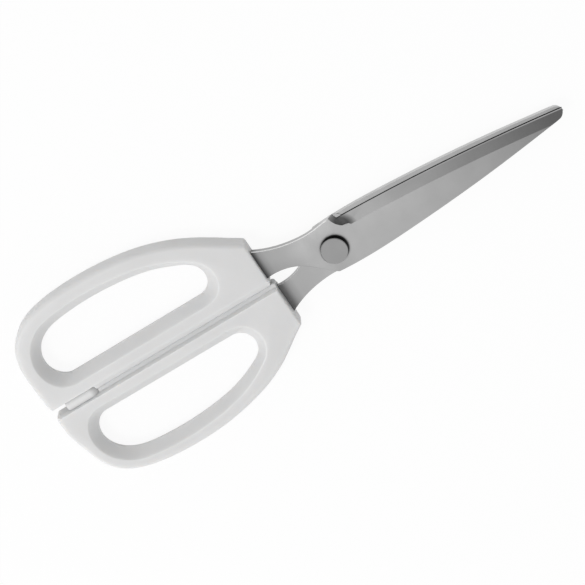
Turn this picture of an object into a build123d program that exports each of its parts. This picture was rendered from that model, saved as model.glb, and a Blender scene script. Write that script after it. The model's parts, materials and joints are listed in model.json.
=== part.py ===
from build123d import *
import os

# Kitchen shears with moulded loop handles, lying closed on a table.
# X runs from the handles towards the tip, and Z is up from the table.
# The origin is on the pivot axis, at the height of the table.
# The shears are two halves that cross at the pivot. The front half has the upper blade,
# and its handle lies towards +Y. The rear half mirrors it in outline and lies under it.

# Overall sizes, in millimetres
tip_reach = 103.6
handle_reach = 132.8
handle_thickness = 10.0
front_loop_width = 42.9
rear_loop_width = 42.0
closing_offset = 0.9
overrun = 3.0

# Blades
blade_thickness = 2.6
blade_gap = 0.02
ricasso_x = 4.5
ricasso_width = 11.2
edge_start = 9.5
edge_start_width = 9.05
notch_radius = 4.5
edge_middle = 59.5
edge_middle_width = 5.9
tip_width = 0.8
spine_width = 10.6
heel_x = 3.0
bevel_width = 4.45
edge_land = 0.2
scoop_radius = 8.0
scoop_rise = 0.6
scoop_corner = 1.0
scoop_slope = 38
bevel_sweep = 10
edge_round = 0.3

# Tangs, from the shoulder at the pivot to the end inside the handle
tang_mouth = 28.0
tang_reach = 71.0
anchor_x = 36.0
anchor_across = 8.2
tang_strip_low = 2.9
tang_strip_high = 7.3
anchor_radius = 2.4
strip_hole_radius = 1.1

# Handles
front_end = 28.5
rear_end = 27.5
closing_gap = 0.15
outer_round = 2.0
end_round = 0.8
back_corner = 4.0
back_straight = 9.0
front_slope = 0.6
front_groove_depth = 1.2
front_groove_width = 2.45
rear_groove_depth = 2.1
rear_groove_floor = 1.75
rear_groove_width = 2.6
throat_land = 1.4
flare_width = 4.0
back_wall = 9.6
hole_front = 48.5
hole_low = 10.6
hole_high = 33.3
rear_hole_shift = 1.3

# Stop pad, and the relief round it in both handles
relief_margin = 1.6
relief_depth = 2.0
relief_round = 0.9
pad_inset = 6.2
pad_length = 13.6
pad_height = 7.0
pad_corner = 1.5
pad_root = 4.0
pad_clearance = 0.2
pad_round = 1.2

# Pivot
head_radius = 5.4
head_height = 2.2
head_chamfer = 0.25
key_radius = 3.8
key_flat = 6.2
journal_radius = 3.0
thread_radius = 2.5
running_clearance = 0.05
seat_clearance = 0.02
glide_washer_radius = 5.2
glide_washer_thickness = 0.3
spring_washer_radius = 4.8
spring_washer_thickness = 0.3
spring_washer_rise = 0.2
nut_radius = 5.2
nut_chamfer = 0.3
nut_slot_width = 1.2
nut_slot_depth = 0.6
nut_slot_share = 0.6

# Outlines of one half. Across is counted from the closing line towards the half's handle.
# Spine, from the tip to the heel: share of the tip's reach, share of the spine's width
spine_shares = [(0.97, 0.231), (0.87, 0.365), (0.675, 0.605), (0.483, 0.788), (0.29, 0.924), (0.1, 0.995)]
tip_round_shares = (0.994, 0.1)
heel_share = 0.945
# Tang's outer side: share of the mouth's reach, share of the ricasso's width
tang_outer_shares = [(0.0, 0.958), (0.18, 0.905), (0.36, 0.92), (0.54, 0.985), (0.72, 1.1), (1.0, 1.4)]
# Tang's inner side: share of the mouth's reach, share of the spine's width
tang_inner_shares = [(0.86, 0.28), (0.71, 0.214), (0.5, -0.033), (0.29, -0.52)]
# Outside of each loop, from its back corner to just past its front end:
# share of the handle's length from the front end, share of the loop's width
front_loop_shares = [
    (0.994, 0.56), (0.952, 0.786), (0.891, 0.902), (0.803, 0.969), (0.65, 1.0),
    (0.515, 0.988), (0.37, 0.933), (0.226, 0.814), (0.129, 0.685), (0.034, 0.53), (-0.043, 0.412),
]
rear_loop_shares = [
    (0.981, 0.459), (0.962, 0.626), (0.934, 0.758), (0.887, 0.865), (0.791, 0.956), (0.653, 0.997),
    (0.506, 0.991), (0.363, 0.937), (0.219, 0.826), (0.125, 0.703), (0.029, 0.536), (-0.042, 0.428),
]
# Finger hole: share of its length from the front, share of its height
hole_shares = [
    (0.025, 0.095), (0.0, 0.313), (0.02, 0.498), (0.105, 0.692), (0.241, 0.863), (0.401, 0.96),
    (0.581, 1.0), (0.755, 0.978), (0.878, 0.899), (0.963, 0.705), (1.0, 0.392), (0.97, 0.12),
]
hole_straight_shares = (0.09, 0.9)

# Levels above the table
middle = handle_thickness / 2
outer_face = blade_gap / 2 + blade_thickness
flare_depth = (handle_thickness - throat_land) / 2

# Reach back from the pivot
hole_back = handle_reach - back_wall
pad_back = handle_reach - pad_inset
relief_reach = pad_back - pad_length - relief_margin
relief_length = handle_reach + overrun - relief_reach
relief_width = relief_depth + overrun

# Each half is drawn on its own plane, with X forward and Y across towards its handle
front_plane = Plane(origin=(0, closing_offset, middle), x_dir=(1, 0, 0), z_dir=(0, 0, 1))
rear_plane = Plane(origin=(0, closing_offset, middle), x_dir=(1, 0, 0), z_dir=(0, 0, -1))


def section_plane(half):
    """Plane across the shears, with X across the half and Y towards its outer face."""
    return Plane(origin=half.origin, x_dir=half.y_dir, z_dir=half.x_dir)


def make_bevel(half, edge):
    """Wedge that is ground off the outer face along the cutting edge, with a scooped start."""
    radius = edge.radius
    center = edge.arc_center
    end = edge @ 1 + Vector(overrun, 0)
    radial = (end - center).normalized()
    radial_world = half.x_dir * radial.X + half.y_dir * radial.Y
    wedge_plane = Plane(
        origin=half.from_local_coords(center), x_dir=radial_world, z_dir=radial_world.cross(half.z_dir)
    )
    scoop_end = (tip_reach + overrun, -spine_width / 2)
    with BuildPart() as bevel:
        with BuildSketch(wedge_plane):
            with BuildLine():
                Polyline(
                    (radius - bevel_width, outer_face),
                    (radius, blade_gap / 2 + edge_land),
                    (radius + overrun, blade_gap / 2 + edge_land),
                    (radius + overrun, outer_face + overrun),
                    (radius - bevel_width, outer_face + overrun),
                    close=True,
                )
            make_face()
        revolve(axis=Axis(wedge_plane.origin, half.z_dir), revolution_arc=bevel_sweep)
        with BuildSketch(half.offset(outer_face)):
            with BuildLine():
                FilletPolyline(
                    (tip_reach + overrun, ricasso_width + overrun),
                    (ricasso_x, ricasso_width + overrun),
                    (ricasso_x, edge_start_width - bevel_width + scoop_rise),
                    scoop_end,
                    radius=[scoop_corner, scoop_radius],
                )
                Line(scoop_end, (tip_reach + overrun, ricasso_width + overrun))
            make_face()
        extrude(amount=-blade_thickness, taper=scoop_slope, mode=Mode.INTERSECT)
    return bevel


def key_section(clearance):
    """Two-flatted section that keys the pivot bolt into the front blade."""
    with BuildSketch() as key:
        Circle(key_radius + clearance)
        Rectangle(
            2 * (key_radius + clearance), key_flat + 2 * clearance, mode=Mode.INTERSECT
        )
    return key.sketch


def make_blade(half, pivot_across, keyed):
    """Blade and its tang in one sheet of steel. Its inner face is at the middle of the shears."""
    edge = ThreePointArc(
        (edge_start, edge_start_width), (edge_middle, edge_middle_width), (tip_reach, tip_width)
    )
    bevel = make_bevel(half, edge)
    spine = [(x * tip_reach, -y * spine_width) for x, y in spine_shares]
    outer_side = [(-x * tang_mouth, y * ricasso_width) for x, y in tang_outer_shares]
    inner_side = [(-x * tang_mouth, y * spine_width) for x, y in tang_inner_shares]
    strip_middle = (tang_strip_low + tang_strip_high) / 2
    strip_round = (tang_strip_high - tang_strip_low) / 2
    shoulder = (-tang_mouth - strip_round, ricasso_width + strip_round)
    heel = (-heel_x, -heel_share * spine_width)
    with BuildPart() as blade:
        with BuildSketch(half.offset(blade_gap / 2)):
            with BuildLine():
                add(edge)
                ThreePointArc(
                    (tip_reach, tip_width),
                    (tip_round_shares[0] * tip_reach, -tip_round_shares[1] * spine_width),
                    spine[0],
                )
                Spline(*spine, heel)
                Spline(heel, *reversed(inner_side), (-tang_mouth, tang_strip_low))
                Line((-tang_mouth, tang_strip_low), (strip_round - tang_reach, tang_strip_low))
                ThreePointArc(
                    (strip_round - tang_reach, tang_strip_low),
                    (-tang_reach, strip_middle),
                    (strip_round - tang_reach, tang_strip_high),
                )
                Polyline(
                    (strip_round - tang_reach, tang_strip_high), (-hole_front, tang_strip_high),
                    shoulder, outer_side[-1],
                )
                Spline(*reversed(outer_side), (ricasso_x, ricasso_width))
                RadiusArc((ricasso_x, ricasso_width), (edge_start, edge_start_width), notch_radius)
            make_face()
        extrude(amount=blade_thickness)
        outer_edges = blade.faces().sort_by(Axis(half.origin, half.z_dir))[-1].edges()
        fillet(outer_edges.filter_by(GeomType.BSPLINE), radius=edge_round)
        add(bevel, mode=Mode.SUBTRACT)
        with BuildSketch(half.offset(blade_gap / 2)):
            with Locations((0, pivot_across)):
                if keyed:
                    add(key_section(seat_clearance))
                else:
                    Circle(journal_radius + running_clearance)
            with Locations((-anchor_x, anchor_across)):
                Circle(anchor_radius)
            with Locations((strip_round - tang_reach + strip_hole_radius, strip_middle)):
                Circle(strip_hole_radius)
        extrude(amount=blade_thickness, mode=Mode.SUBTRACT)
    return blade


def hole_outline(grow, shift):
    """Outline of the finger hole, grown all round where it flares."""
    length = hole_back - hole_front + 2 * grow
    height = hole_high - hole_low + 2 * grow
    front = shift - hole_front + grow
    low = hole_low - grow
    curve = [(front - x * length, low + y * height) for x, y in hole_shares]
    start, end = [(front - x * length, low) for x in hole_straight_shares]
    with BuildSketch() as outline:
        with BuildLine():
            Line(start, end)
            Spline(start, *curve, end, tangents=[(1, 0), (1, 0)], tangent_scalars=[1, 1])
        make_face()
    return outline.sketch


def groove_section(depth, floor, width):
    """What the groove along the closing line takes off one handle, at both faces."""
    face = handle_thickness / 2
    with BuildSketch() as section:
        with BuildLine():
            Polyline(
                (closing_gap + floor, face - depth),
                (closing_gap + width, face),
                (closing_gap + width, face + overrun),
                (-overrun, face + overrun),
                (-overrun, face - depth),
                close=True,
            )
        make_face()
        mirror(about=Plane.XZ)
    return section.sketch


def make_handle(half, blade, end, width, outer_shares, hole_shift, groove):
    """Handle moulded round its tang, with a finger hole that flares towards both faces."""
    outside = [(-end - x * (handle_reach - end), y * width) for x, y in outer_shares]
    back_inner_corner = half.from_local_coords((-handle_reach, closing_gap, 0))
    with BuildPart() as handle:
        with BuildSketch(half):
            with BuildLine():
                Polyline(
                    (outside[-1][0], closing_gap), (-handle_reach, closing_gap),
                    (-handle_reach, back_straight),
                )
                Spline(
                    (-handle_reach, back_straight), *outside,
                    tangents=[(0, 1), (1, -front_slope)], tangent_scalars=[1, 1],
                )
                Line(outside[-1], (outside[-1][0], closing_gap))
            make_face()
        extrude(amount=handle_thickness / 2, both=True)
        back_corners = handle.edges().filter_by(Axis.Z).sort_by_distance(back_inner_corner)
        fillet(back_corners[0], radius=back_corner)
        faces = handle.faces().filter_by(Axis.Z)
        fillet(faces.edges(), radius=outer_round)
        split(bisect_by=Plane.YZ.offset(-end), keep=Keep.BOTTOM)
        with BuildSketch(half):
            add(hole_outline(0, hole_shift))
        extrude(amount=handle_thickness / 2, both=True, mode=Mode.SUBTRACT)
        for side in (1, -1):
            with BuildSketch(half.offset(side * throat_land / 2)):
                add(hole_outline(0, hole_shift))
            with BuildSketch(half.offset(side * (handle_thickness / 2 + overrun))):
                add(hole_outline(flare_width * (1 + overrun / flare_depth), hole_shift))
            loft(ruled=True, mode=Mode.SUBTRACT)
        front_face = handle.faces().sort_by(Axis.X)[-1]
        fillet(front_face.edges(), radius=end_round)
        with BuildSketch(section_plane(half).offset(-handle_reach - overrun)):
            add(groove)
        extrude(amount=handle_reach, mode=Mode.SUBTRACT)
        with BuildSketch(half):
            with Locations((-relief_reach - relief_length / 2, relief_depth - relief_width / 2)):
                RectangleRounded(relief_length, relief_width, relief_round)
        extrude(amount=handle_thickness, both=True, mode=Mode.SUBTRACT)
        add(blade, mode=Mode.SUBTRACT)
    return handle


def pad_section():
    """Outline of the stop pad, seen from across the shears."""
    with BuildSketch() as section:
        RectangleRounded(pad_length, pad_height, pad_corner)
    return section.sketch


def washer(radius, bore, thickness, level):
    """Flat ring round the pivot axis."""
    with BuildPart() as ring:
        with BuildSketch(Plane.XY.offset(level)):
            Circle(radius)
            Circle(bore, mode=Mode.SUBTRACT)
        extrude(amount=thickness)
    return ring


# Blades
front_blade = make_blade(front_plane, -closing_offset, keyed=True)
rear_blade = make_blade(rear_plane, closing_offset, keyed=False)

# Handles, with the stop pad's seat in the rear one
front_handle = make_handle(
    front_plane, front_blade, front_end, front_loop_width, front_loop_shares, 0,
    groove_section(front_groove_depth, 0, front_groove_width),
)
pad_plane = Plane(
    origin=rear_plane.from_local_coords((pad_length / 2 - pad_back, pad_root, 0)),
    x_dir=rear_plane.x_dir,
    z_dir=-rear_plane.y_dir,
)
with BuildPart() as rear_handle:
    add(
        make_handle(
            rear_plane, rear_blade, rear_end, rear_loop_width, rear_loop_shares, rear_hole_shift,
            groove_section(rear_groove_depth, rear_groove_floor, rear_groove_width),
        )
    )
    with BuildSketch(pad_plane):
        add(pad_section())
    extrude(amount=pad_root + overrun, mode=Mode.SUBTRACT)

with BuildPart() as stop_pad:
    with BuildSketch(pad_plane):
        add(pad_section())
    extrude(amount=pad_root + relief_depth - pad_clearance)
    fillet(stop_pad.faces().sort_by(Axis.Y)[-1].edges(), radius=pad_round)

# Pivot, from the head on the front blade down to the nut at the level of the table
inner_level = middle + blade_gap / 2
head_level = middle + outer_face
glide_level = middle - outer_face - blade_gap - glide_washer_thickness
spring_level = glide_level - spring_washer_thickness - spring_washer_rise
nut_height = spring_level

with BuildPart() as pivot_bolt:
    with BuildSketch():
        Circle(thread_radius)
    extrude(amount=nut_height)
    with BuildSketch(Plane.XY.offset(nut_height)):
        Circle(journal_radius)
    extrude(amount=inner_level - nut_height)
    with BuildSketch(Plane.XY.offset(inner_level)):
        add(key_section(0))
    extrude(amount=blade_thickness)
    with BuildSketch(Plane.XY.offset(head_level)):
        Circle(head_radius)
    extrude(amount=head_height)
    chamfer(pivot_bolt.faces().sort_by(Axis.Z)[-1].edges(), length=head_chamfer)

glide_washer = washer(
    glide_washer_radius, journal_radius + running_clearance, glide_washer_thickness, glide_level
)

with BuildPart() as spring_washer:
    with BuildSketch(Plane.XZ):
        with BuildLine():
            bore = journal_radius + running_clearance
            Polyline(
                (bore, spring_level + spring_washer_rise),
                (bore, spring_level + spring_washer_rise + spring_washer_thickness),
                (spring_washer_radius, spring_level + spring_washer_thickness),
                (spring_washer_radius, spring_level),
                close=True,
            )
        make_face()
    revolve(axis=Axis.Z)

with BuildPart() as pivot_nut:
    with BuildSketch():
        Circle(nut_radius)
        Circle(thread_radius + seat_clearance, mode=Mode.SUBTRACT)
    extrude(amount=nut_height)
    chamfer(pivot_nut.edges().group_by(Axis.Z)[0].sort_by(SortBy.RADIUS)[-1], length=nut_chamfer)
    with BuildSketch():
        with PolarLocations(nut_radius, 2):
            Rectangle(2 * (nut_radius - thread_radius) * nut_slot_share, nut_slot_width)
    extrude(amount=nut_slot_depth, mode=Mode.SUBTRACT)

os.makedirs("parts", exist_ok=True)
front_blade.part.label = "front_blade"
rear_blade.part.label = "rear_blade"
front_handle.part.label = "front_handle"
rear_handle.part.label = "rear_handle"
stop_pad.part.label = "stop_pad"
pivot_bolt.part.label = "pivot_bolt"
glide_washer.part.label = "glide_washer"
spring_washer.part.label = "spring_washer"
pivot_nut.part.label = "pivot_nut"
export_step(front_blade.part, "parts/front_blade.step")
export_step(rear_blade.part, "parts/rear_blade.step")
export_step(front_handle.part, "parts/front_handle.step")
export_step(rear_handle.part, "parts/rear_handle.step")
export_step(stop_pad.part, "parts/stop_pad.step")
export_step(pivot_bolt.part, "parts/pivot_bolt.step")
export_step(glide_washer.part, "parts/glide_washer.step")
export_step(spring_washer.part, "parts/spring_washer.step")
export_step(pivot_nut.part, "parts/pivot_nut.step")
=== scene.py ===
import json
import math

import bmesh
import bpy
from bpy.props import FloatProperty, FloatVectorProperty, PointerProperty
from mathutils import Matrix, Vector


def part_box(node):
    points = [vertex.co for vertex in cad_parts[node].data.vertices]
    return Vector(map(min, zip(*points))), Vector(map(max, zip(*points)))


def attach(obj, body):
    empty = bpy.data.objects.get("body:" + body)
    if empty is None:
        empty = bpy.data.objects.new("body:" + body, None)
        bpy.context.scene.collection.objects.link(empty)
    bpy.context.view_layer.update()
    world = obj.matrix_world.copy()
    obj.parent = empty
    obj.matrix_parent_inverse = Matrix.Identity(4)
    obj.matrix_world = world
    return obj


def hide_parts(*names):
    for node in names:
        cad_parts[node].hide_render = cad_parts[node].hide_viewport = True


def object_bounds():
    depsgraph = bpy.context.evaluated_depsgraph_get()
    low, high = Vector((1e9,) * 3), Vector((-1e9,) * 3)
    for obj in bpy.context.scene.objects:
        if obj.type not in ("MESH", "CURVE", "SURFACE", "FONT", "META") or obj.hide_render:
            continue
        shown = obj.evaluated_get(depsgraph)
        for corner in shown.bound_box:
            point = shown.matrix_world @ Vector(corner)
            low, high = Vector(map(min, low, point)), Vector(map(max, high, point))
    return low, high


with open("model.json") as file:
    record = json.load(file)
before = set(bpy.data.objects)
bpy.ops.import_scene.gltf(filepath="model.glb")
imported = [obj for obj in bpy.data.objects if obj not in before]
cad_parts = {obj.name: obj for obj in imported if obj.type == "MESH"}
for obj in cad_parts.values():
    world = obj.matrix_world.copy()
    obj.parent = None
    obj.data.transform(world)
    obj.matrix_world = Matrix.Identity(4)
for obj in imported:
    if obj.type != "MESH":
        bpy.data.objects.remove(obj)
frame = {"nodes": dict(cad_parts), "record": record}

bl_info = {
    "name": "Kitchen Shears",
    "version": (1, 0, 0),
    "blender": (4, 5, 0),
    "location": "View3D > Sidebar > Shears",
    "description": "Dresses a pair of kitchen shears with moulded loop handles",
    "category": "Object",
}

MM = 0.001

# Tolerances: merging distance, and how near a vertex lies to the plane that it belongs to
MERGE = 0.001 * MM
NEAR = 0.01 * MM
CLOSING_NEAR = 0.02 * MM

# The picture is square, and this pixel of it shows the pivot's axis at this height
PICTURE_PIXELS = 585
PIVOT_PIXEL = (334.27, 250.64)
PIVOT_LEVEL = 9.0 * MM
SENSOR_WIDTH = 36.0

CAD_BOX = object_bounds()

# Both halves are the same about this point: millimetres from the pivot's foot
HALF_ORIGIN = (0.0, 0.9, 5.0)

# Handles: faces that meet flatter than FLAT_FOLD are merged, folds under SMOOTH_FOLD are shaded
# smooth, and one sharper than RIM_FOLD in the top or bottom face is a rim
FLAT_FOLD = math.radians(0.2)
RIM_FOLD = math.radians(25)
SMOOTH_FOLD = math.radians(30)
RIM_SEGMENTS = 5
GROOVE_SEGMENTS = 3
# A rim nearer to the closing side than this belongs to the groove, and any other one to the hole
GROOVE_REACH = 3 * MM

# Blades: a side's normal points up or down less than UPRIGHT, and a flat face's more than LEVEL
UPRIGHT = 0.2
LEVEL = 0.99
# Least share of the normal that points sideways, on the round with the painted highlight and on
# the bare inner side
LIT_SIDE = 0.1
BARE_SIDE = 0.3
# Below the outer face: the rounded edge ends above ROUND_DEPTH, and the honed land is under
# LAND_DEPTH
ROUND_DEPTH = 0.35 * MM
LAND_DEPTH = 2.3 * MM
# The inner side is bare outside this radius round the pivot, and in front of the handle
BARE_RADIUS = 8 * MM
BARE_X = -27 * MM
BLADE_FOLD = math.radians(22)
BACK_SEGMENTS = 2
# Slots of a blade's steels, after the satin one of its flat faces
BEVEL, PAINTED_HIGHLIGHT, BACK = 1, 2, 3

# Stop pad: its front end is stretched by this factor into the lip
LIP_STRETCH = 2

# Noise stays mostly within this range
NOISE_LOW = 0.3
NOISE_HIGH = 0.7
COARSE_DETAIL = 2.0
FINE_DETAIL = 3.0

# Steel: spacing of the grinding lines along X, Y and Z, of the clouds, and depth of the lines,
# all in millimetres
BLADE_LINES = (0.22, 6.0, 6.0)
BACK_LINES = (6.0, 6.0, 0.22)
HEAD_LINES = (5.0, 0.18, 5.0)
SPRING_LINES = (0.3, 0.3, 0.3)
STEEL_CLOUDS = (8.0, 8.0, 8.0)
LINE_DEPTH = 0.001
STEEL_MOTTLE = 0.03
BLADE_ROUGHNESS = 0.36
HEAD_ROUGHNESS = 0.34
BRIGHT_ROUGHNESS = 0.3
ROUGHNESS_SPREAD = 0.04

# ABS: spacing and depth of the skin's grain, spacing of the clouds, and how far light scatters
# inside, in millimetres
ABS_SKIN = (0.35, 0.35, 0.35)
ABS_SKIN_DEPTH = 0.012
ABS_CLOUDS = (14.0, 14.0, 14.0)
ABS_MOTTLE = 0.01
ABS_ROUGHNESS = (0.42, 0.5)
ABS_SCATTER = 2.5
ABS_SCATTER_SHARES = (1.0, 0.95, 0.9)
# Rubber and nylon, in the same way
RUBBER_SKIN = (0.2, 0.2, 0.2)
RUBBER_SKIN_DEPTH = 0.01
RUBBER_MOTTLE = 0.02
RUBBER_ROUGHNESS = (0.6, 0.7)
NYLON_SKIN = (0.6, 0.6, 0.6)
NYLON_MOTTLE = 0.03
NYLON_ROUGHNESS = (0.4, 0.5)
PLASTIC_REFRACTION = 1.53
RUBBER_REFRACTION = 1.5

# Tones of the blades: millimetres, and share of the full tone there.
# Along X from where each blade comes out of its handle: painted shade, darkest at the mouth and
# towards the front blade's tip, with painted light on the front blade's middle
FRONT_MOUTH_SHADE_STOPS = (
    (-28.5, 0.2), (-27.5, 0.27), (-27.0, 0.38), (-26.0, 0.62), (-24.0, 0.78), (-18.0, 0.83),
    (-10.0, 0.93), (0.0, 0.95), (8.0, 1.03), (36.0, 1.03), (56.0, 0.94), (76.0, 0.84), (95.0, 0.65),
)
REAR_MOUTH_SHADE_STOPS = (
    (-27.5, 0.4), (-26.0, 0.38), (-25.0, 0.47), (-23.5, 0.65), (-21.0, 0.83), (-12.0, 0.9),
    (-4.0, 1.0),
)
# Outwards from a point beside the pivot axis: a painted shadow and painted reflection of the head's
# dark side, in the steel on one side of it
HEAD_SHADE_MIDDLE = (0.4, 0.15, 0.0)
HEAD_SHADE_STOPS = ((5.45, 0.08), (5.65, 0.2), (5.95, 0.8), (6.5, 1.0))
# Along X on the bevel: painted light near the pivot and painted shade towards the tip
BEVEL_STOPS = ((10.0, 1.25), (22.0, 1.24), (30.0, 1.11), (45.0, 1.0), (60.0, 0.82), (98.0, 0.43))
# Up from the middle on the bevel: a painted shadow line along the cutting edge and, behind it, a
# painted highlight line
EDGE_SHADOW_STOPS = ((0.2, 0.02), (0.32, 0.02), (0.38, 1.0))
EDGE_HIGHLIGHT_STOPS = ((0.32, 0.0), (0.38, 1.0), (0.52, 1.0), (0.6, 0.0))
# Along X: how much the painted highlight line adds
EDGE_HIGHLIGHT_REACH_STOPS = ((20.0, 0.0), (45.0, 0.15), (75.0, 0.5), (98.0, 2.0))
# The scoop is an oval hollow darkened with painted shade: middle, half sizes in millimetres and
# turn in degrees
SCOOP_MIDDLE = (8.3, 7.0, 1.8)
SCOOP_REACH = (6.2, 3.1, 10.0)
SCOOP_TURN = -42
SCOOP_STOPS = ((0.45, 0.22), (0.75, 0.5), (1.15, 1.0))
# Along Y on the stop pad: a painted highlight on its crest, and painted shade on both its long
# sides
PAD_STOPS = ((-1.1, 0.8), (-0.3, 0.97), (0.3, 1.0), (1.0, 0.98), (1.7, 0.88), (2.7, 0.86))
# Along X on the stop pad: painted shade on its front lip
PAD_END_STOPS = ((-115.0, 1.0), (-113.0, 0.72), (-111.5, 0.7))
# Up from the table on the pivot bolt: painted shade on its head's side
HEAD_STOPS = ((9.5, 0.03), (9.6, 1.0))

# Studio sky: it is dark round one direction, where the camera and its stand would be.
# Angles are in degrees, and it is fully dark within the inner one.
DARK_AZIMUTH = 20
DARK_ELEVATION = 45
DARK_OUTER = 62
DARK_INNER = 34
SKY_BRIGHT = 0.86
SKY_DARK = 0.45
# Key lamp: direction in degrees, distance and size in metres, and power in watts
KEY_AZIMUTH = 182
KEY_ELEVATION = 57
KEY_DISTANCE = 1.2
KEY_SIZE = 0.4
KEY_POWER = 4.1
# Floor: its size in metres, how far it lies under the shears, and how much of it shows white
FLOOR_SIZE = 4.0
FLOOR_DROP = 0.01 * MM
FLOOR_WHITE = 0.92


def linear(hex_colour):
    """Linear colour with full alpha from an sRGB hex value such as #d6d6d6."""
    channels = [int(hex_colour[i:i + 2], 16) / 255 for i in (1, 3, 5)]
    return [c / 12.92 if c <= 0.04045 else ((c + 0.055) / 1.055) ** 2.4 for c in channels] + [1.0]


def millimetres(name, description, size):
    """Length property whose default is given in millimetres."""
    return FloatProperty(name=name, description=description, default=size * MM, unit="LENGTH")


def degrees(name, description, angle):
    """Angle property whose default is given in degrees."""
    return FloatProperty(
        name=name, description=description, default=math.radians(angle), subtype="ANGLE"
    )


def colour(name, description, hex_colour):
    """Colour property whose default is given as sRGB hex."""
    return FloatVectorProperty(
        name=name, description=description, default=linear(hex_colour), size=4,
        subtype="COLOR", min=0, max=1,
    )


class HandleSettings(bpy.types.PropertyGroup):
    """Softened edges and colour of the two moulded handles."""

    rim_round: millimetres("Rim round", "Softening of the flared rims of the finger holes", 1.3)
    groove_round: millimetres("Groove round", "Softening of the groove between the handles", 0.8)
    closing_fill: millimetres("Closing fill", "How far each closing face moves outwards", 0.14)
    shade: colour("ABS", "Colour of the moulded ABS", "#dddddd")


class SteelSettings(bpy.types.PropertyGroup):
    """Greys of the steel pieces, and the rounding of the blades' backs."""

    blade: colour("Blade steel", "Satin-ground stainless steel of the blades", "#b5b5b5")
    back: colour("Ground back", "Lighter ground backs of the blades", "#c6c6c6")
    # Polished edge: a painted highlight, lighter steel on the blades' rounds on one side and their
    # backs' inner rims
    painted_highlight: colour("Polished edge", "Tumbled and polished edges of the blades", "#eaeaea")
    rim_round: millimetres("Rim round", "Rounding of the inner edge on each blade's back", 0.35)
    head: colour("Pivot steel", "Brushed stainless steel of the pivot bolt and nut", "#9e9e9e")
    spring: colour("Spring steel", "Plain spring steel of the washer", "#9c9c9c")


class StopSettings(bpy.types.PropertyGroup):
    """Colours of the soft stop pad and the nylon washer, and the pad's lip."""

    pad: colour("TPR", "Soft thermoplastic rubber of the stop pad", "#e6e6e6")
    lip: millimetres("Lip", "Length of the rounded lip at the pad's front end", 3.0)
    nylon: colour("Nylon", "Natural nylon of the glide washer", "#dcdad2")


class StageSettings(bpy.types.PropertyGroup):
    """Camera and floor."""

    tilt: degrees("Tilt", "Camera's lean away from straight above", 22)
    heading: degrees("Heading", "Side towards which the camera leans, from +X", 60.5)
    roll: degrees("Roll", "Camera's turn about its own axis", 3)
    distance: millimetres("Distance", "From the camera to the pivot's head", 800)
    lens: FloatProperty(name="Lens", description="Focal length in millimetres", default=126.03)
    floor: colour("Floor", "Colour of the pale floor", "#f7f7f7")


def add_node(tree, kind, options=(), values=(), links=()):
    """Add a node with its options, socket values and links from other nodes' sockets."""
    node = tree.nodes.new(kind)
    for name, value in dict(options).items():
        setattr(node, name, value)
    for name, value in dict(values).items():
        node.inputs[name].default_value = value
    for name, source in dict(links).items():
        tree.links.new(source, node.inputs[name])
    return node


def new_material(name):
    """Empty node material with its shader and output, and the piece's own coordinates."""
    material = bpy.data.materials.new(name)
    material.use_nodes = True
    tree = material.node_tree
    tree.nodes.clear()
    place = add_node(tree, "ShaderNodeTexCoord").outputs["Object"]
    shader = add_node(tree, "ShaderNodeBsdfPrincipled")
    add_node(tree, "ShaderNodeOutputMaterial", links={"Surface": shader.outputs["BSDF"]})
    return material, tree, place, shader


def grain(tree, place, spacing, detail=COARSE_DETAIL):
    """Noise whose cells have the given spacing in millimetres along X, Y and Z."""
    mapping = add_node(
        tree, "ShaderNodeMapping", values={"Scale": [1 / (s * MM) for s in spacing]},
        links={"Vector": place},
    )
    noise = add_node(
        tree, "ShaderNodeTexNoise", values={"Scale": 1.0, "Detail": detail},
        links={"Vector": mapping.outputs["Vector"]},
    )
    return noise.outputs["Fac"]


def between(tree, factor, low, high):
    """Number that goes from low to high as the noise goes over its usual range."""
    node = add_node(
        tree, "ShaderNodeMapRange",
        values={"From Min": NOISE_LOW, "From Max": NOISE_HIGH, "To Min": low, "To Max": high},
        links={"Value": factor},
    )
    return node.outputs["Result"]


def tones(tree, factor, dark, light):
    """Colour between two tones as the noise goes over its usual range."""
    ramp = add_node(tree, "ShaderNodeValToRGB", links={"Fac": factor})
    ramp.color_ramp.elements[0].position = NOISE_LOW
    ramp.color_ramp.elements[0].color = dark
    ramp.color_ramp.elements[1].position = NOISE_HIGH
    ramp.color_ramp.elements[1].color = light
    return ramp.outputs["Color"]


def shaded(tone, share):
    """A darker or lighter copy of a tone."""
    return [c * share for c in tone[:3]] + [1.0]


def relief(tree, height, depth):
    """Bump of the given depth in millimetres."""
    bump = add_node(
        tree, "ShaderNodeBump", values={"Strength": 1.0, "Distance": depth * MM},
        links={"Height": height},
    )
    return bump.outputs["Normal"]


def along(tree, length, stops, unit=MM):
    """Grey that follows a length, from stops of it in a unit and the share of the full tone."""
    first, last = stops[0][0], stops[-1][0]
    share = add_node(
        tree, "ShaderNodeMapRange", values={"From Min": first * unit, "From Max": last * unit},
        links={"Value": length},
    )
    ramp = add_node(tree, "ShaderNodeValToRGB", links={"Fac": share.outputs["Result"]})
    points = ramp.color_ramp.elements
    while len(points) < len(stops):
        points.new(0.5)
    for point, (reach, tone) in zip(points, stops):
        point.position = (reach - first) / (last - first)
        point.color = (tone, tone, tone, 1.0)
    return ramp.outputs["Color"]


def product(tree, first, second):
    """Product of two colours."""
    node = add_node(
        tree, "ShaderNodeVectorMath", {"operation": "MULTIPLY"}, links={0: first, 1: second}
    )
    return node.outputs["Vector"]


def axes(tree, place):
    """The three coordinates of a place."""
    return add_node(tree, "ShaderNodeSeparateXYZ", links={"Vector": place}).outputs


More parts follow.
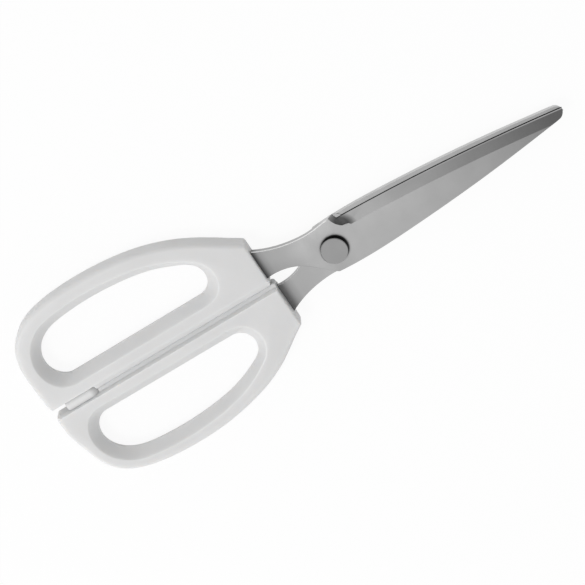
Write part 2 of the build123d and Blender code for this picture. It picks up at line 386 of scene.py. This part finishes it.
def ground_steel(name, tone, line_spacing, roughness, masks=None):
    """Stainless steel with fine straight grinding lines.

    The lines spread each reflection across them, so flat faces look silky and never mirror-like.
    masks makes more tones to multiply from the tree and the place.
    """
    material, tree, place, shader = new_material(name)
    lines = grain(tree, place, line_spacing, FINE_DETAIL)
    clouds = grain(tree, place, STEEL_CLOUDS)
    shader.inputs["Metallic"].default_value = 1.0
    shade = tones(tree, clouds, shaded(tone, 1 - STEEL_MOTTLE), shaded(tone, 1 + STEEL_MOTTLE))
    for mask in masks(tree, place) if masks else ():
        shade = product(tree, shade, mask)
    spread = between(tree, lines, roughness - ROUGHNESS_SPREAD, roughness + ROUGHNESS_SPREAD)
    tree.links.new(shade, shader.inputs["Base Color"])
    tree.links.new(spread, shader.inputs["Roughness"])
    tree.links.new(relief(tree, lines, LINE_DEPTH), shader.inputs["Normal"])
    return material


def half_place(tree, place):
    """Distances from the pivot along X, the closing line along Y and the middle along Z."""
    centred = add_node(
        tree, "ShaderNodeVectorMath", {"operation": "SUBTRACT"}, {1: [c * MM for c in HALF_ORIGIN]},
        {0: place},
    )
    node = add_node(
        tree, "ShaderNodeVectorMath", {"operation": "ABSOLUTE"},
        links={0: centred.outputs["Vector"]},
    )
    return node.outputs["Vector"]


def distance(tree, place, middle):
    """Distance of a place from a middle in millimetres."""
    node = add_node(
        tree, "ShaderNodeVectorMath", {"operation": "DISTANCE"}, {1: [c * MM for c in middle]},
        {0: place},
    )
    return node.outputs["Value"]


def flat_masks(mouth_shade_stops):
    """Masks of a blade's flat faces.

    They have painted shade where the steel goes into the plastic and towards the front tip, and a
    painted shadow and reflection of the pivot's head in a thin line round it, widest on one side.
    """
    def masks(tree, place):
        level = add_node(
            tree, "ShaderNodeVectorMath", {"operation": "MULTIPLY"}, {1: (1.0, 1.0, 0.0)},
            {0: place},
        )
        reach = distance(tree, level.outputs["Vector"], HEAD_SHADE_MIDDLE)
        return [
            along(tree, axes(tree, place)["X"], mouth_shade_stops),
            along(tree, reach, HEAD_SHADE_STOPS),
        ]
    return masks


def bevel_masks(tree, place):
    """Masks of the ground bevel.

    Painted light brightens it near the pivot and painted shade darkens it towards the tip. Along
    the cutting edge a painted shadow line has a painted highlight line behind it, and painted shade
    darkens the hollow of the scoop at the bevel's start.
    """
    half = half_place(tree, place)
    reach, height = axes(tree, place)["X"], axes(tree, half)["Z"]
    bright = add_node(
        tree, "ShaderNodeVectorMath", {"operation": "MULTIPLY_ADD"}, {2: (1.0, 1.0, 1.0)},
        {0: along(tree, height, EDGE_HIGHLIGHT_STOPS), 1: along(tree, reach, EDGE_HIGHLIGHT_REACH_STOPS)},
    )
    oval = add_node(
        tree, "ShaderNodeMapping", {"vector_type": "TEXTURE"},
        {
            "Location": [c * MM for c in SCOOP_MIDDLE],
            "Rotation": (0.0, 0.0, math.radians(SCOOP_TURN)),
            "Scale": [c * MM for c in SCOOP_REACH],
        },
        {"Vector": half},
    )
    scoop = add_node(
        tree, "ShaderNodeVectorMath", {"operation": "LENGTH"}, links={0: oval.outputs["Vector"]}
    )
    return [
        along(tree, reach, BEVEL_STOPS),
        along(tree, height, EDGE_SHADOW_STOPS),
        bright.outputs["Vector"],
        along(tree, scoop.outputs["Value"], SCOOP_STOPS, 1.0),
    ]


def moulded_abs(name, tone):
    """White ABS from a finely spark-eroded mould: an even satin surface with a soft wide sheen."""
    material, tree, place, shader = new_material(name)
    skin = grain(tree, place, ABS_SKIN, FINE_DETAIL)
    clouds = grain(tree, place, ABS_CLOUDS)
    shade = tones(tree, clouds, shaded(tone, 1 - ABS_MOTTLE), shaded(tone, 1 + ABS_MOTTLE))
    tree.links.new(shade, shader.inputs["Base Color"])
    tree.links.new(between(tree, skin, *ABS_ROUGHNESS), shader.inputs["Roughness"])
    tree.links.new(relief(tree, skin, ABS_SKIN_DEPTH), shader.inputs["Normal"])
    shader.inputs["IOR"].default_value = PLASTIC_REFRACTION
    shader.inputs["Subsurface Weight"].default_value = 1.0
    shader.inputs["Subsurface Radius"].default_value = ABS_SCATTER_SHARES
    shader.inputs["Subsurface Scale"].default_value = ABS_SCATTER * MM
    return material


def soft_rubber(name, tone):
    """White thermoplastic rubber: dull, with a painted highlight on its crest a little brighter
    than the ABS round it, and painted shade on its long sides and front lip.
    """
    material, tree, place, shader = new_material(name)
    skin = grain(tree, place, RUBBER_SKIN, FINE_DETAIL)
    shade = tones(tree, skin, shaded(tone, 1 - RUBBER_MOTTLE), shaded(tone, 1.0))
    shade = product(tree, shade, along(tree, axes(tree, place)["Y"], PAD_STOPS))
    shade = product(tree, shade, along(tree, axes(tree, place)["X"], PAD_END_STOPS))
    tree.links.new(shade, shader.inputs["Base Color"])
    tree.links.new(between(tree, skin, *RUBBER_ROUGHNESS), shader.inputs["Roughness"])
    tree.links.new(relief(tree, skin, RUBBER_SKIN_DEPTH), shader.inputs["Normal"])
    shader.inputs["IOR"].default_value = RUBBER_REFRACTION
    return material


def cut_nylon(name, tone):
    """Natural nylon sheet, punched and slightly waxy."""
    material, tree, place, shader = new_material(name)
    skin = grain(tree, place, NYLON_SKIN)
    shade = tones(tree, skin, shaded(tone, 1 - NYLON_MOTTLE), shaded(tone, 1.0))
    tree.links.new(shade, shader.inputs["Base Color"])
    tree.links.new(between(tree, skin, *NYLON_ROUGHNESS), shader.inputs["Roughness"])
    shader.inputs["IOR"].default_value = PLASTIC_REFRACTION
    return material


def finish(piece, material):
    """Give the piece one material in all its slots."""
    piece.data.materials.clear()
    piece.data.materials.append(material)


def deselect():
    """Nothing selected, in object mode."""
    if bpy.context.object and bpy.context.object.mode != "OBJECT":
        bpy.ops.object.mode_set(mode="OBJECT")
    bpy.ops.object.select_all(action="DESELECT")


def copy_of(node_name, name):
    """Merged copy of a node's mesh as a new object, alone selected and active."""
    deselect()
    piece = bpy.data.objects.new(name, frame["nodes"][node_name].data.copy())
    bpy.context.scene.collection.objects.link(piece)
    piece.select_set(True)
    bpy.context.view_layer.objects.active = piece
    bpy.ops.object.mode_set(mode="EDIT")
    bpy.ops.mesh.customdata_custom_splitnormals_clear()
    bpy.ops.mesh.select_all(action="SELECT")
    bpy.ops.mesh.remove_doubles(threshold=MERGE)
    bpy.ops.mesh.select_all(action="DESELECT")
    return piece


def select_edges(piece, wanted):
    """Select the edges of the piece in edit mode for which wanted(edge) is true, and count them."""
    bpy.ops.mesh.select_mode(type="EDGE")
    bpy.ops.mesh.select_all(action="DESELECT")
    mesh = bmesh.from_edit_mesh(piece.data)
    chosen = [edge for edge in mesh.edges if edge.is_manifold and wanted(edge)]
    for edge in chosen:
        edge.select_set(True)
    bmesh.update_edit_mesh(piece.data)
    return len(chosen)


def select_vertices(piece, wanted):
    """Select the vertices of the piece in edit mode for which wanted(vertex) is true."""
    bpy.ops.mesh.select_mode(type="VERT")
    bpy.ops.mesh.select_all(action="DESELECT")
    mesh = bmesh.from_edit_mesh(piece.data)
    chosen = [vertex for vertex in mesh.verts if wanted(vertex)]
    if not chosen:
        raise RuntimeError(f"{piece.name} has no such vertices")
    for vertex in chosen:
        vertex.select_set(True)
    bmesh.update_edit_mesh(piece.data)


def soften(piece, wanted, width, segments, slot=-1):
    """Bevel the edges for which wanted(edge) is true. A slot below 0 keeps their own material."""
    if not select_edges(piece, wanted):
        raise RuntimeError(f"{piece.name} has no such edges to soften")
    bpy.ops.mesh.bevel(
        offset=width, segments=segments, profile=0.5, clamp_overlap=True, material=slot
    )


def frame_body(node_name):
    """Name of the body that carries a node."""
    bodies = frame["record"]["behaviour"]["bodies"]
    return next(body for body, members in bodies.items() if node_name in members)


def make_handle(node_name, name, side):
    """Handle with softened rims. side is +1 where it lies towards +Y, and -1 towards -Y."""
    sizes = bpy.context.scene.shears_handles
    low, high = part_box(node_name)
    closing = low.y if side > 0 else -high.y
    levels = (low.z, high.z)
    piece = copy_of(node_name, name)
    bpy.ops.mesh.select_all(action="SELECT")
    bpy.ops.mesh.dissolve_limited(angle_limit=FLAT_FOLD)

    def across(edge):
        """Distance of the edge's middle from the closing side."""
        return side * (edge.verts[0].co.y + edge.verts[1].co.y) / 2 - closing

    def is_rim(edge):
        """Edge at the top or bottom face with a fold."""
        flat = any(all(abs(v.co.z - level) < NEAR for v in edge.verts) for level in levels)
        return flat and edge.calc_face_angle(0) > RIM_FOLD

    def is_hole_rim(edge):
        """Rim of the finger hole."""
        return is_rim(edge) and across(edge) > GROOVE_REACH

    def is_groove_rim(edge):
        """Rim of the groove along the closing side."""
        return is_rim(edge) and across(edge) < GROOVE_REACH

    select_vertices(piece, lambda v: side * v.co.y - closing < CLOSING_NEAR)
    bpy.ops.transform.translate(value=(0, -side * sizes.closing_fill, 0))
    soften(piece, is_hole_rim, sizes.rim_round, RIM_SEGMENTS)
    soften(piece, is_groove_rim, sizes.groove_round, GROOVE_SEGMENTS)
    bpy.ops.object.mode_set(mode="OBJECT")
    bpy.ops.object.shade_smooth_by_angle(angle=SMOOTH_FOLD)
    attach(piece, frame_body(node_name))
    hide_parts(node_name)
    finish(piece, moulded_abs(name + "_abs", sizes.shade))


class SHEARS_OT_handles(bpy.types.Operator):
    """Make the two moulded handles with softened rims"""

    bl_idname = "shears.handles"
    bl_label = "Handles"

    def execute(self, context):
        make_handle("front_handle", "front_handle_shell", 1)
        make_handle("rear_handle", "rear_handle_shell", -1)
        return {"FINISHED"}


def assign(piece, slot, wanted):
    """Give the piece's faces for which wanted(face) is true its material in a slot."""
    bpy.ops.mesh.select_mode(type="FACE")
    bpy.ops.mesh.select_all(action="DESELECT")
    mesh = bmesh.from_edit_mesh(piece.data)
    chosen = [face for face in mesh.faces if wanted(face)]
    if not chosen:
        raise RuntimeError(f"{piece.name} has no such faces")
    for face in chosen:
        face.select_set(True)
    bmesh.update_edit_mesh(piece.data)
    piece.active_material_index = slot
    bpy.ops.object.material_slot_assign()


def make_blade(node_name, name, side, mouth_shade_stops):
    """Blade with steels of its own for its flat faces, bevel, edges with a painted highlight
    and ground back.

    side is +1 for the blade whose outer face is up, and -1 for the other one.
    """
    steels = bpy.context.scene.shears_steel
    low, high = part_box(node_name)
    outer, inner = (high.z, low.z) if side > 0 else (low.z, high.z)
    piece = copy_of(node_name, name)
    piece.data.materials.clear()
    flat = flat_masks(mouth_shade_stops)
    for steel in (
        ground_steel(name + "_satin", steels.blade, BLADE_LINES, BLADE_ROUGHNESS, flat),
        ground_steel(name + "_bevel", steels.blade, BLADE_LINES, BLADE_ROUGHNESS, bevel_masks),
        ground_steel(name + "_polish", steels.painted_highlight, BLADE_LINES, BRIGHT_ROUGHNESS),
        ground_steel(name + "_back", steels.back, BACK_LINES, BLADE_ROUGHNESS),
    ):
        piece.data.materials.append(steel)

    def sunk(face):
        """Depths of the face's corners below the blade's outer face."""
        return [side * (outer - v.co.z) for v in face.verts]

    def is_bevel(face):
        """Ground face, or the narrow land at the cutting edge."""
        leaning = UPRIGHT < side * face.normal.z < LEVEL and max(sunk(face)) > ROUND_DEPTH
        land = abs(face.normal.z) < UPRIGHT and min(sunk(face)) > LAND_DEPTH
        return leaning or land

    def is_wall(face):
        """Side of the blade."""
        return abs(face.normal.z) < UPRIGHT and not is_bevel(face)

    def is_lit_round(face):
        """Rounded edge of the outer face, on the side of the blade's own handle: a painted
        highlight.
        """
        rounded = max(sunk(face)) < ROUND_DEPTH and side * face.normal.z < LEVEL
        return rounded and side * face.normal.y > LIT_SIDE

    def is_back_rim(edge):
        """Bare inner edge along the blade's back and the tang's inner side."""
        level = all(abs(v.co.z - inner) < NEAR for v in edge.verts)
        bare = all(v.co.xy.length > BARE_RADIUS and v.co.x > BARE_X for v in edge.verts)
        walls = [face for face in edge.link_faces if is_wall(face)]
        return level and bare and any(side * face.normal.y < -BARE_SIDE for face in walls)

    assign(piece, BEVEL, is_bevel)
    assign(piece, PAINTED_HIGHLIGHT, is_lit_round)
    assign(piece, BACK, lambda face: is_wall(face) and face.calc_center_median().x > 0)
    # The back's inner rim is rounded and given the painted highlight's steel
    soften(piece, is_back_rim, steels.rim_round, BACK_SEGMENTS, PAINTED_HIGHLIGHT)
    bpy.ops.object.mode_set(mode="OBJECT")
    bpy.ops.object.shade_smooth_by_angle(angle=BLADE_FOLD)
    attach(piece, frame_body(node_name))
    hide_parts(node_name)


class SHEARS_OT_blades(bpy.types.Operator):
    """Make the two blades with their finishes"""

    bl_idname = "shears.blades"
    bl_label = "Blades"

    def execute(self, context):
        make_blade("front_blade", "front_blade_ground", 1, FRONT_MOUTH_SHADE_STOPS)
        make_blade("rear_blade", "rear_blade_ground", -1, REAR_MOUTH_SHADE_STOPS)
        return {"FINISHED"}


class SHEARS_OT_pivot(bpy.types.Operator):
    """Finish the pivot bolt, its nut and its two washers"""

    bl_idname = "shears.pivot"
    bl_label = "Pivot"

    def execute(self, context):
        steels = context.scene.shears_steel
        nodes = frame["nodes"]
        # The head's side gets painted shade along Z
        head = ground_steel(
            "brushed_head_steel", steels.head, HEAD_LINES, HEAD_ROUGHNESS,
            lambda tree, place: [along(tree, axes(tree, place)["Z"], HEAD_STOPS)],
        )
        nut = ground_steel("brushed_nut_steel", steels.head, HEAD_LINES, HEAD_ROUGHNESS)
        spring = ground_steel("plain_spring_steel", steels.spring, SPRING_LINES, BRIGHT_ROUGHNESS)
        finish(nodes["pivot_bolt"], head)
        finish(nodes["pivot_nut"], nut)
        finish(nodes["spring_washer"], spring)
        finish(nodes["glide_washer"], cut_nylon("natural_nylon", context.scene.shears_stop.nylon))
        return {"FINISHED"}


def make_stop_pad():
    """Stop pad whose front end runs out in a long rounded lip that fills the relief."""
    soft = bpy.context.scene.shears_stop
    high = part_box("stop_pad")[1]
    start = high.x - soft.lip / LIP_STRETCH
    piece = copy_of("stop_pad", "stop_pad_soft")
    select_vertices(piece, lambda v: v.co.x > start)
    bpy.ops.transform.resize(
        value=(LIP_STRETCH, 1, 1), center_override=(start, 0, 0), orient_type="GLOBAL"
    )
    bpy.ops.object.mode_set(mode="OBJECT")
    bpy.ops.object.shade_smooth_by_angle(angle=SMOOTH_FOLD)
    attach(piece, frame_body("stop_pad"))
    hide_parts("stop_pad")
    finish(piece, soft_rubber("white_soft_rubber", soft.pad))


class SHEARS_OT_stop_pad(bpy.types.Operator):
    """Make the soft pad on which the handles close"""

    bl_idname = "shears.stop_pad"
    bl_label = "Stop pad"

    def execute(self, context):
        make_stop_pad()
        return {"FINISHED"}


def add_floor(tone):
    """Pale floor on which the shears lie. It shows white, and keeps a faint shadow."""
    deselect()
    bpy.ops.mesh.primitive_plane_add(size=FLOOR_SIZE, location=(0, 0, CAD_BOX[0].z - FLOOR_DROP))
    floor = bpy.context.object
    floor.name = "floor"
    material = bpy.data.materials.new("white_paper_floor")
    material.use_nodes = True
    tree = material.node_tree
    tree.nodes.clear()
    path = add_node(tree, "ShaderNodeLightPath")
    seen = path.outputs["Is Camera Ray"]
    for kind in ("Is Glossy Ray", "Is Transmission Ray"):
        larger = add_node(
            tree, "ShaderNodeMath", {"operation": "MAXIMUM"}, links={0: seen, 1: path.outputs[kind]}
        )
        seen = larger.outputs[0]
    share = add_node(tree, "ShaderNodeMath", {"operation": "MULTIPLY"}, {1: FLOOR_WHITE}, {0: seen})
    paper = add_node(tree, "ShaderNodeBsdfDiffuse", values={"Color": tone})
    white = add_node(tree, "ShaderNodeEmission", values={"Color": (1, 1, 1, 1), "Strength": 1.0})
    mix = add_node(
        tree, "ShaderNodeMixShader",
        links={0: share.outputs[0], 1: paper.outputs["BSDF"], 2: white.outputs["Emission"]},
    )
    add_node(tree, "ShaderNodeOutputMaterial", links={"Surface": mix.outputs[0]})
    finish(floor, material)


def direction(azimuth, elevation):
    """Unit vector at an azimuth from +X and an elevation, both in degrees."""
    a, e = math.radians(azimuth), math.radians(elevation)
    return Vector((math.cos(a) * math.cos(e), math.sin(a) * math.cos(e), math.sin(e)))


def add_world():
    """Soft sky of the studio, brighter on the lamp's side."""
    world = bpy.data.worlds.new("studio")
    bpy.context.scene.world = world
    world.use_nodes = True
    tree = world.node_tree
    tree.nodes.clear()
    place = add_node(tree, "ShaderNodeTexCoord").outputs["Generated"]
    turned = add_node(
        tree, "ShaderNodeVectorMath", {"operation": "DOT_PRODUCT"},
        {1: direction(DARK_AZIMUTH, DARK_ELEVATION)}, {0: place},
    )
    strength = add_node(
        tree, "ShaderNodeMapRange", {"interpolation_type": "SMOOTHSTEP"},
        {
            "From Min": math.cos(math.radians(DARK_OUTER)),
            "From Max": math.cos(math.radians(DARK_INNER)),
            "To Min": SKY_BRIGHT,
            "To Max": SKY_DARK,
        },
        {"Value": turned.outputs["Value"]},
    )
    sky = add_node(
        tree, "ShaderNodeBackground", values={"Color": (1, 1, 1, 1)},
        links={"Strength": strength.outputs["Result"]},
    )
    add_node(tree, "ShaderNodeOutputWorld", links={"Surface": sky.outputs["Background"]})


def add_lamp(name, azimuth, elevation, away, size, power):
    """Square soft lamp that faces the shears."""
    toward = direction(azimuth, elevation)
    bpy.ops.object.light_add(type="AREA", location=toward * away)
    lamp = bpy.context.object
    lamp.name = name
    lamp.rotation_euler = toward.to_track_quat("Z", "Y").to_euler()
    lamp.data.size = size
    lamp.data.energy = power


def add_camera(stage):
    """Camera at the photograph's viewing angle, with the pivot's head at its own pixel."""
    tilt, heading, roll = stage.tilt, stage.heading, stage.roll
    back = Vector((
        math.cos(heading) * math.sin(tilt), math.sin(heading) * math.sin(tilt), math.cos(tilt)
    ))
    ahead = Vector((math.cos(heading), math.sin(heading), 0))
    up = (ahead - back * ahead.dot(back)).normalized()
    right = up.cross(back)
    level_right = right * math.cos(roll) - up * math.sin(roll)
    level_up = right * math.sin(roll) + up * math.cos(roll)
    pixels_per_focus = stage.lens / SENSOR_WIDTH * PICTURE_PIXELS
    across = (PIVOT_PIXEL[0] - PICTURE_PIXELS / 2) / pixels_per_focus
    above = (PICTURE_PIXELS / 2 - PIVOT_PIXEL[1]) / pixels_per_focus
    target = Vector((0, 0, PIVOT_LEVEL))
    place = target - (level_right * across + level_up * above - back) * stage.distance
    bpy.ops.object.camera_add()
    camera = bpy.context.object
    camera.matrix_world = Matrix((
        (level_right.x, level_up.x, back.x, place.x),
        (level_right.y, level_up.y, back.y, place.y),
        (level_right.z, level_up.z, back.z, place.z),
        (0, 0, 0, 1),
    ))
    camera.data.sensor_width = SENSOR_WIDTH
    camera.data.lens = stage.lens
    bpy.context.scene.camera = camera


class SHEARS_OT_stage(bpy.types.Operator):
    """Set up the floor, the sky, the soft lamp and the camera"""

    bl_idname = "shears.stage"
    bl_label = "Stage"

    def execute(self, context):
        stage = context.scene.shears_stage
        add_floor(stage.floor)
        add_world()
        add_lamp("key_lamp", KEY_AZIMUTH, KEY_ELEVATION, KEY_DISTANCE, KEY_SIZE, KEY_POWER)
        add_camera(stage)
        context.scene.view_settings.view_transform = "Standard"
        return {"FINISHED"}


class SHEARS_PT_panel(bpy.types.Panel):
    """Lists the steps that dress the shears"""

    bl_idname = "SHEARS_PT_panel"
    bl_label = "Kitchen Shears"
    bl_space_type = "VIEW_3D"
    bl_region_type = "UI"
    bl_category = "Shears"

    def draw(self, context):
        for step in STEPS:
            self.layout.operator(step.bl_idname)
        for group in GROUPS:
            box = self.layout.box()
            values = getattr(context.scene, group)
            for name in values.bl_rna.properties.keys():
                if name not in ("name", "rna_type"):
                    box.prop(values, name)


STEPS = (SHEARS_OT_stage, SHEARS_OT_handles, SHEARS_OT_blades, SHEARS_OT_pivot, SHEARS_OT_stop_pad)
GROUPS = {
    "shears_handles": HandleSettings,
    "shears_steel": SteelSettings,
    "shears_stop": StopSettings,
    "shears_stage": StageSettings,
}


def register():
    for group in GROUPS.values():
        bpy.utils.register_class(group)
    for name, group in GROUPS.items():
        setattr(bpy.types.Scene, name, PointerProperty(type=group))
    for step in STEPS:
        bpy.utils.register_class(step)
    bpy.utils.register_class(SHEARS_PT_panel)


def unregister():
    bpy.utils.unregister_class(SHEARS_PT_panel)
    for step in reversed(STEPS):
        bpy.utils.unregister_class(step)
    for name, group in GROUPS.items():
        delattr(bpy.types.Scene, name)
        bpy.utils.unregister_class(group)


def main():
    """Dress the shears."""
    register()
    bpy.ops.shears.stage()
    bpy.ops.shears.handles()
    bpy.ops.shears.blades()
    bpy.ops.shears.pivot()
    bpy.ops.shears.stop_pad()


if __name__ == "__main__":
    main()
